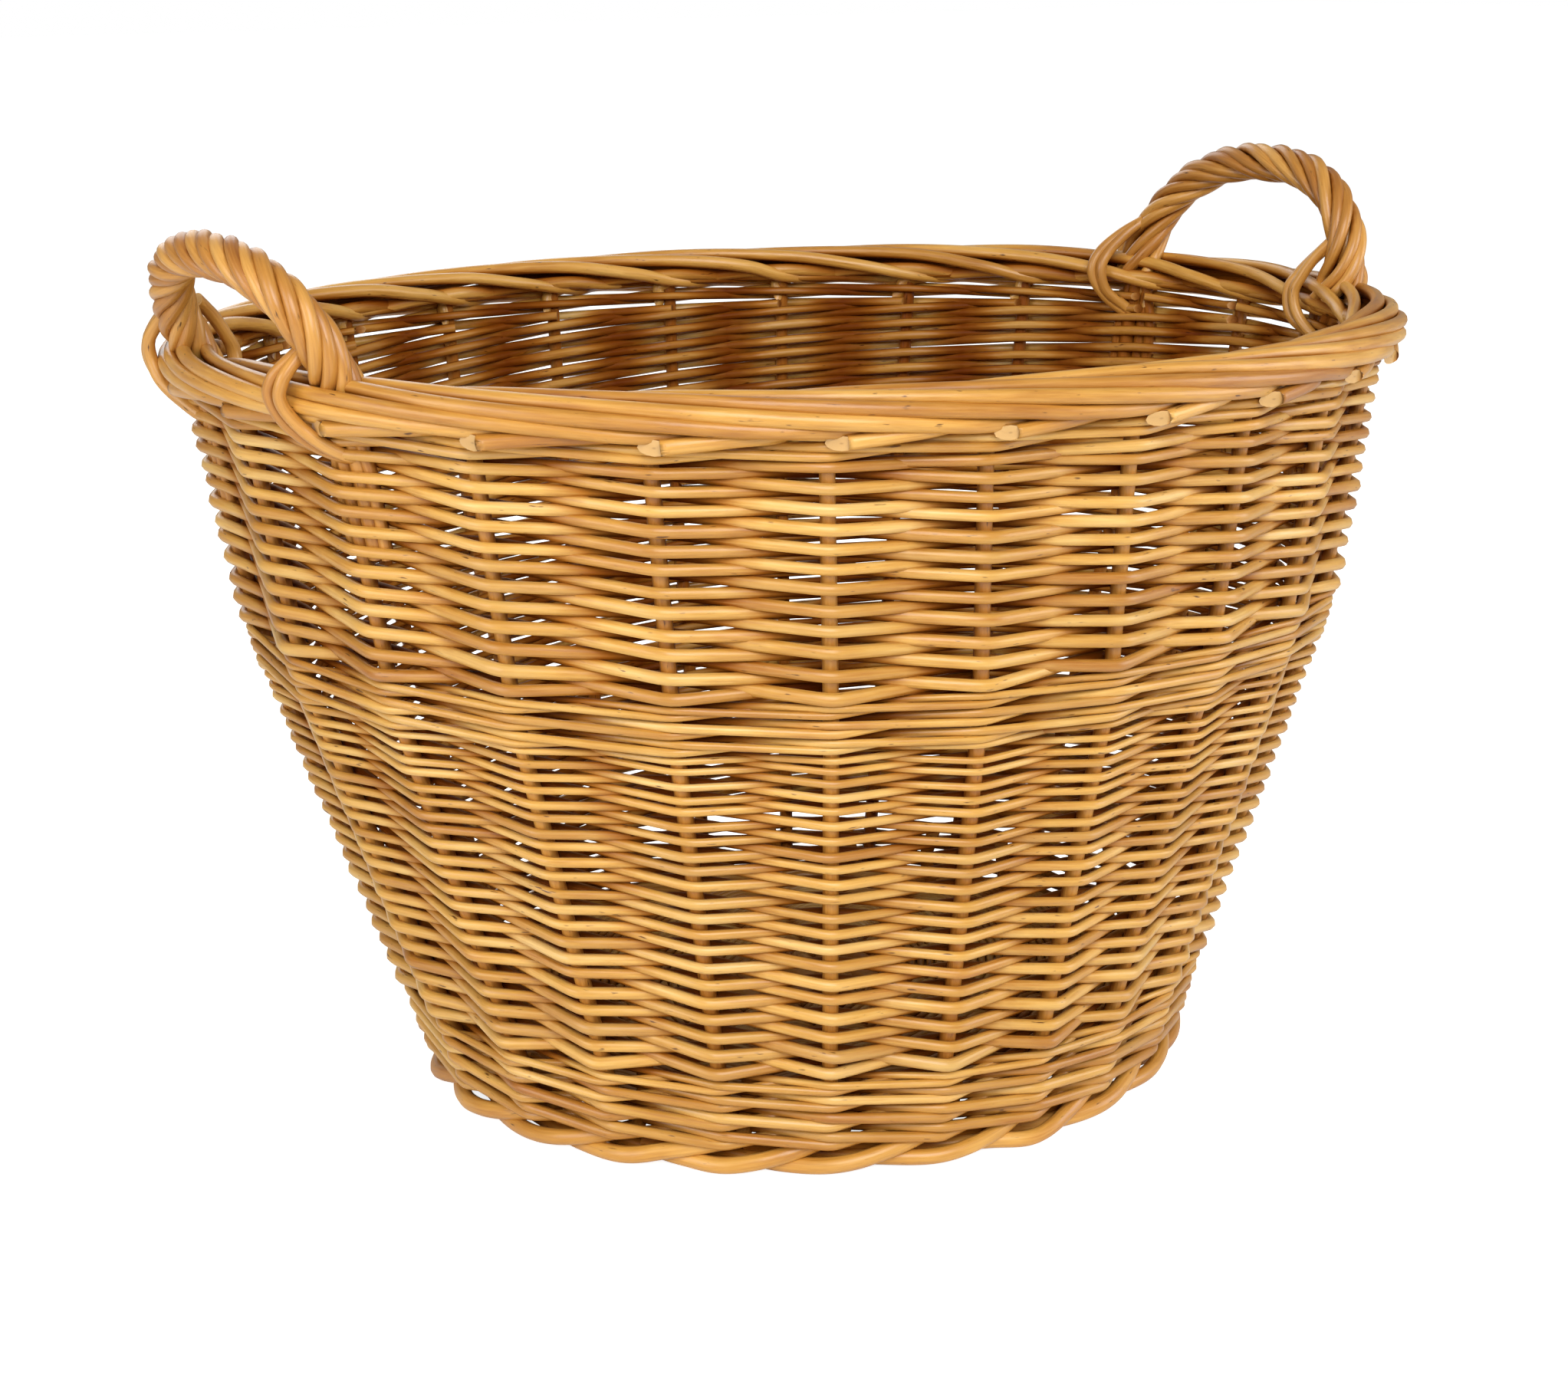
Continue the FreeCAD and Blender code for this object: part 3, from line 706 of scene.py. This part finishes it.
def make_foot():
    """Plaited foot of thick rods that come down beside the stakes."""
    rods = rolled_rods(FOOT_TURNS, middle_height("foot_border"), FOOT_RADIUS, FOOT_SLANT)
    build("foot_border_rods", rods, BORDER, ["foot_border", "foot_stakes"], sides=12,
          shade_depth=stake_depth)


# ---- base --------------------------------------------------------------------------------------

LONG_STICKS = 4
SHORT_STICKS = 7
BASE_ENDS = 2 * (LONG_STICKS + SHORT_STICKS)
LONG_SPACING = 0.0072
SHORT_SPACING = 0.013
SLATH_HALF_LENGTH = 0.045
SLATH_HALF_WIDTH = 0.020
BASE_ROUNDS = 29
BASE_ROD_RADIUS = 0.0021
STICK_SAMPLES = 16
WEAVER_SAMPLES = 8
LONG_STICK_RADIUS = 0.0032
SHORT_STICK_RADIUS = 0.0055
STICK_END_MARGIN = 0.008
STICK_THINNING = ((0, 0.3, 1), (1, 1, 0.7))      # share of the way out, and share of the radius there
WEAVER_REACH = 1.035         # how far past the stick ends the weaving goes, as a share of their length
WEAVER_LIFT = 0.0036         # from the middle of the base to the face of a stick
WEAVER_PIECES = 6            # each long spiral is built in this many lengths
WEAVER_START = 0.02          # share of the way out where the spirals start
WEAVER_CROWDING = 0.95       # below one, the rounds stand closer towards the edge
WEAVER_WOBBLE = 0.0002


def base_edge(share, margin):
    """Points round the base, set in by a margin."""
    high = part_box("base_weave")[1]
    half_length, half_width = high.x - margin, high.y - margin
    angle = even_angle(np.asarray(share) * STAKES, half_length, half_width)
    return np.stack([half_length * np.cos(angle), half_width * np.sin(angle)], -1)


def base_spokes():
    """Start and end of each stick end, anticlockwise from the first one past the +X end."""
    spokes = []
    for end in range(BASE_ENDS):
        share = (end - (LONG_STICKS - 1) / 2) / BASE_ENDS
        turn, half = divmod(end, BASE_ENDS // 2)
        sign = -1 if turn else 1
        if half < LONG_STICKS:
            start = (sign * SLATH_HALF_LENGTH, sign * (half - (LONG_STICKS - 1) / 2) * LONG_SPACING)
        else:
            shift = (SHORT_STICKS - 1) / 2 - (half - LONG_STICKS)
            start = (sign * shift * SHORT_SPACING, sign * SLATH_HALF_WIDTH)
        spokes.append((np.array(start), base_edge(share, STICK_END_MARGIN)))
    return spokes


def base_sticks(spokes, first, count, height, radius):
    """Sticks that cross the slath and fan out at both ends."""
    rods = []
    for number in range(count):
        near = spokes[first + number]
        far = spokes[first + BASE_ENDS // 2 + count - 1 - number]
        path = np.array([near[1], near[0], far[0], far[1]])
        line = bent_line(np.c_[path, np.full(len(path), height)], STICK_SAMPLES, BEND_SOFTNESS)
        thinning = np.interp(np.abs(np.linspace(-1, 1, len(line))), *STICK_THINNING)
        rods.append(Rod(line, radius * thinning, slant=0.5))
    return rods


def base_weavers(spokes, height):
    """Two rods that spiral out round the stick ends, one above and one below each of them."""
    starts, ends = (np.array([spoke[side] for spoke in spokes]) for side in (0, 1))
    steps = BASE_ROUNDS * BASE_ENDS
    rods = []
    for strand in range(2):
        step = np.arange(steps + 1)
        spoke = step % BASE_ENDS
        share = (WEAVER_START + (1 - WEAVER_START) * step / steps)[:, None] ** WEAVER_CROWDING
        level = starts[spoke] * (1 - share) + ends[spoke] * share * WEAVER_REACH
        over = np.where((step + strand) % 2 == 0, 1.0, -1.0)
        lift = over * (WEAVER_LIFT + BASE_ROD_RADIUS)
        stops = np.c_[level, height + lift + CHANCE.normal(0, WEAVER_WOBBLE, len(step))]
        line = bent_line(stops, WEAVER_SAMPLES, BEND_SOFTNESS)
        cuts = [(len(line) - 1) * piece // WEAVER_PIECES for piece in range(WEAVER_PIECES + 1)]
        for low, high in zip(cuts, cuts[1:]):
            rods.append(Rod(line[low:high + 1], BASE_ROD_RADIUS, up=np.array([0.0, 0.0, 1.0])))
    return rods


def make_base():
    """Sticks of the base and the pairing woven round them."""
    height = middle_height("base_weave")
    spokes = base_spokes()
    build("base_long_stick_rods", base_sticks(spokes, 0, LONG_STICKS, height, LONG_STICK_RADIUS),
          STAKE, ["base_long_sticks"], sides=10, shade_depth=open_air)
    sticks = base_sticks(spokes, LONG_STICKS, SHORT_STICKS, height, SHORT_STICK_RADIUS)
    build("base_short_stick_rods", sticks, STAKE, ["base_short_sticks"], sides=12,
          shade_depth=open_air)
    build("base_weave_rods", base_weavers(spokes, height), WEAVE, ["base_weave"],
          shade_depth=base_depth)


# ---- handles -----------------------------------------------------------------------------------

ROPE_STRANDS = 7
STRAND_RADIUS = 0.0032
STRAND_RING = 0.0068
ROPE_TURNS = {"left": 2.9, "right": 2.4}
BOW_RADIUS = 0.0043
LINER_RADIUS = 0.0030
LASHING_RADIUS = 0.0031
ROPE_TUCK = 0.013            # how far the rope's strands go down into the border
BOW_TUCK = 0.006
ROPE_POINTS = 260
BOW_POINTS = 120
TUCK_POINTS = 12
LEG_POINTS = 24
LEG_TOP = 0.004              # below the rim
LINER_TOP = 0.010
STRAND_SWELL = 0.07          # uneven distance of the strands from the bow
SPREAD_START = 0.62          # share of the way from the top to a foot where the strands start to spread
LEG_OFFSET = 7.6             # mm from a stake to the bow's end, and to the two liners beside it
LINER_OFFSETS = (13.8, -7.0)
SETTLING = 0.035             # depth in which a pushed-down rod reaches its place beside the stake
SETTLED_OUT = -0.0012
FEET = {"left": (-0.074, 0.065), "right": (-0.085, 0.075)}      # y of each handle's feet, front first
# lean of each arch's top along X and Y, and powers that shape its shoulders and its rise
ARCHES = {"left": (-0.025, -0.0126, 0.90, 0.86), "right": (0.011, -0.0091, 0.89, 1.05)}
# turns of a lashing, from the rope down into the siding: mm along, out and up
LASHING_TURNS = ((3, 4, 18), (8, 11, 10), (13, 17.5, 0), (15, 19.5, -9), (12, 16.5, -20),
                 (5, 9, -29), (-3, 0, -35))
ROPE_LEAN = (4.5, 1.5, 0, 0, 0, 0, 0)                    # mm along, added to the turns near the rope
LASHING_SAMPLES = 10
LASHING_SCATTER = 0.4                                    # mm
SECOND_ROD_SHIFT = (0, 2, 5.5, 6.3, 6.0, 5.0, 3.5)       # mm along, from the first rod to the second


def rim_spacing():
    """Distance between neighbouring stakes along the rim, in mm."""
    points = wall_point(np.linspace(0, STAKES, 400), RIM, 0.0)
    return 1000 * np.linalg.norm(np.diff(points, axis=0), axis=1).sum() / STAKES


def foot_places(side):
    """Places of a handle's feet: front, then back."""
    places = np.linspace(-4, 4, 401)
    front, back = np.interp(FEET[side], wall_point(places, RIM, 0.0)[:, 1], places)
    return (front, back) if side == "right" else (STAKES / 2 - front, STAKES / 2 - back)


def bow_line(side, tuck, count):
    """Centre line of a bow with straight ends that go down past the rim, and the way across it."""
    front, back = wall_point(np.array(foot_places(side)), RIM, 0.0)
    middle, half_span = (front + back) / 2, (back - front) / 2
    outward, forward, span_power, rise_power = ARCHES[side]
    rise = np.array([outward, forward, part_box(f"handle_core_{side}")[1].z - BOW_RADIUS - RIM])
    angle = np.linspace(0, math.pi, count)[:, None]
    span = np.sign(np.cos(angle)) * np.abs(np.cos(angle)) ** span_power
    climb = np.sin(angle).clip(0, 1) ** rise_power
    arch = middle - half_span * span + rise * climb
    down = np.linspace(tuck, 0, TUCK_POINTS)[:-1, None]
    lean = rise / np.linalg.norm(rise)
    across = np.cross(half_span, rise)
    line = np.concatenate([front - lean * down, arch, back - lean * down[::-1]])
    return line, across / np.linalg.norm(across)


def rope_strands(side):
    """Rods twisted left-handed round a bow. They spread along the rim at its feet."""
    centre, across = bow_line(side, ROPE_TUCK, ROPE_POINTS)
    forward = np.gradient(centre, axis=0)
    forward /= np.linalg.norm(forward, axis=1, keepdims=True)
    inward = np.cross(forward, across)
    steps = np.linalg.norm(np.diff(centre, axis=0), axis=1)
    along = np.concatenate([[0], np.cumsum(steps)]) / steps.sum()
    near_foot = np.clip((np.abs(2 * along - 1) - SPREAD_START) / (1 - SPREAD_START), 0, 1)
    spread = 1 + near_foot ** 2
    rods = []
    for strand in range(ROPE_STRANDS):
        turn = strand / ROPE_STRANDS - ROPE_TURNS[side] * along + CHANCE.uniform(-0.02, 0.02)
        angle = 2 * math.pi * turn
        ring = inward * (np.cos(angle) * spread)[:, None] + across * np.sin(angle)[:, None]
        size = STRAND_RING * (1 + STRAND_SWELL * np.sin(12 * along + 2.4 * strand))
        radius = STRAND_RADIUS * CHANCE.uniform(*SPREADS["rope"])
        rods.append(Rod(centre + ring * size[:, None], radius, slant=0.5))
    return rods


def lashing_loops(foot, way, spacing, end):
    """Two rods that leave the rope beside a foot, loop round the border and go into the siding."""
    rope_lean = np.array(ROPE_LEAN) * (1 if end == "front" else -1)
    rods = []
    for number in range(2):
        shift = np.array(SECOND_ROD_SHIFT) * number
        scatter = CHANCE.normal(0, LASHING_SCATTER, (len(LASHING_TURNS), 3))
        turns = np.array(LASHING_TURNS, float) + scatter
        turns[:, 0] += shift + rope_lean
        inside = (turns * (1, -1, 1))[-2::-1]
        loop = np.concatenate([turns, inside])
        loop[:, 0] *= -way / spacing
        points, _ = wall_turns(foot, loop, RIM, LASHING_SAMPLES)
        rods.append(Rod(points, LASHING_RADIUS * CHANCE.uniform(*SPREADS["lashing"])))
    return rods


def rod_beside_stake(place, stake, offset, bottom, top, radius):
    """Rod pushed down the weave. It enters at a place on the rim and settles beside a stake."""
    heights = np.linspace(bottom, top, LEG_POINTS)
    settled = np.clip((top - heights) / SETTLING, 0, 1)
    settled = settled * settled * (3 - 2 * settled)
    places = place + (stake + offset - place) * settled
    return Rod(wall_point(places, heights, SETTLED_OUT * settled), radius)


def make_handle(side):
    """Bow, rope, liners and lashings of one handle."""
    spacing = rim_spacing()
    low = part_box(f"handle_core_{side}")[0].z
    feet = foot_places(side)
    bow, _ = bow_line(side, BOW_TUCK, BOW_POINTS)
    build(f"handle_rope_rods_{side}", rope_strands(side), HANDLE, [f"handle_rope_{side}"],
          sides=14, shade_depth=round_line(bow))
    legs, liners = [], []
    for foot in feet:
        stake = round(foot)
        turn = 1 if foot > stake else -1
        leg_offset, *liner_offsets = np.array((LEG_OFFSET, *LINER_OFFSETS)) * turn / spacing
        legs.append(rod_beside_stake(foot, stake, leg_offset, low, RIM - LEG_TOP, BOW_RADIUS))
        liners += [rod_beside_stake(foot + offset / 3, stake, offset, low, RIM - LINER_TOP,
                                    LINER_RADIUS) for offset in liner_offsets]
    build(f"handle_bow_{side}", [Rod(bow, BOW_RADIUS)] + legs, HANDLE, [f"handle_core_{side}"],
          sides=12, shade_depth=stake_depth)
    build(f"handle_liner_rods_{side}", liners, HANDLE, [f"handle_liners_{side}"],
          sides=10, shade_depth=stake_depth)
    way = 1 if side == "right" else -1
    for end, foot in zip(("front", "back"), feet):
        build(f"handle_lashing_rods_{side}_{end}", lashing_loops(foot, way, spacing, end), HANDLE,
              [f"handle_lashing_{side}_{end}"], sides=12, shade_depth=open_air)


def make_handles():
    """Both handles."""
    make_handle("left")
    make_handle("right")


# ---- studio ------------------------------------------------------------------------------------

FLOOR_COLOUR = (0.9, 0.9, 0.9)
FLOOR_GLOW = 0.85
WORLD_LIGHT = 0.24
LAMP_AIM = (0, 0, 0.2)
# name, place, size and power in watts
LAMPS = (("key", (-0.75, -1.95, 1.65), 1.5, 51.0), ("left", (-2.4, -0.2, 0.9), 1.4, 26.0),
         ("right", (2.2, -1.6, 0.9), 1.4, 26.0), ("back", (0.6, 2.4, 1.5), 1.6, 16.0))
# degrees and metres; the camera looks down at the aim, then turns a little aside and rolls
CAMERA_AZIMUTH = -33.73
CAMERA_ELEVATION = 14.99
CAMERA_DISTANCE = 1.441
CAMERA_TURN = -0.253
CAMERA_ROLL = -0.46
AIM_ASIDE = -0.016
AIM_HEIGHT = 0.184
SENSOR_WIDTH = 36.0          # mm
LENS = 64.84049              # mm


def make_studio():
    """Pale floor, white surroundings and soft light."""
    bpy.ops.mesh.primitive_plane_add(size=30)
    floor = bpy.context.object
    floor.name = "studio_floor"
    floor.data.materials.append(floor_paint(FLOOR_COLOUR, FLOOR_GLOW))
    bpy.context.scene.world = white_world(WORLD_LIGHT)
    for name, place, size, power in LAMPS:
        light = bpy.data.lights.new(name, "AREA")
        light.size = size
        light.energy = power
        lamp = bpy.data.objects.new(name, light)
        lamp.location = place
        aim = Vector(LAMP_AIM) - Vector(place)
        lamp.rotation_euler = aim.to_track_quat("-Z", "Y").to_euler()
        bpy.context.scene.collection.objects.link(lamp)


def white_world(strength):
    """White surroundings that look white but give only some light."""
    world = bpy.data.worlds.new("studio")
    world.use_nodes = True
    tree = world.node_tree
    rays = tree.nodes.new("ShaderNodeLightPath")
    level = tree.nodes.new("ShaderNodeMapRange")
    level.inputs["To Min"].default_value = strength
    level.inputs["To Max"].default_value = 1.0
    tree.links.new(rays.outputs["Is Camera Ray"], level.inputs["Value"])
    tree.links.new(level.outputs["Result"], tree.nodes["Background"].inputs["Strength"])
    tree.nodes["Background"].inputs["Color"].default_value = (1, 1, 1, 1)
    return world


def make_camera():
    """Camera at the front left of the basket, a little above the rim."""
    azimuth, elevation = math.radians(CAMERA_AZIMUTH), math.radians(CAMERA_ELEVATION)
    back = Vector((math.sin(azimuth) * math.cos(elevation), -math.cos(azimuth) * math.cos(elevation),
                   math.sin(elevation)))
    aim = Vector((AIM_ASIDE * math.cos(azimuth), AIM_ASIDE * math.sin(azimuth), AIM_HEIGHT))
    data = bpy.data.cameras.new("camera")
    data.sensor_width = SENSOR_WIDTH
    data.lens = LENS
    camera = bpy.data.objects.new("camera", data)
    camera.location = aim + back * CAMERA_DISTANCE
    aside = Quaternion((0, 0, 1), math.radians(CAMERA_TURN))
    facing = aside @ (-back).to_track_quat("-Z", "Y")
    roll = Euler((0, 0, math.radians(CAMERA_ROLL))).to_quaternion()
    camera.rotation_euler = (facing @ roll).to_euler()
    bpy.context.scene.collection.objects.link(camera)
    bpy.context.scene.camera = camera


make_bands()
make_stakes()
make_border()
make_foot()
make_base()
make_handles()
make_studio()
make_camera()
bpy.context.scene.view_settings.view_transform = "Standard"
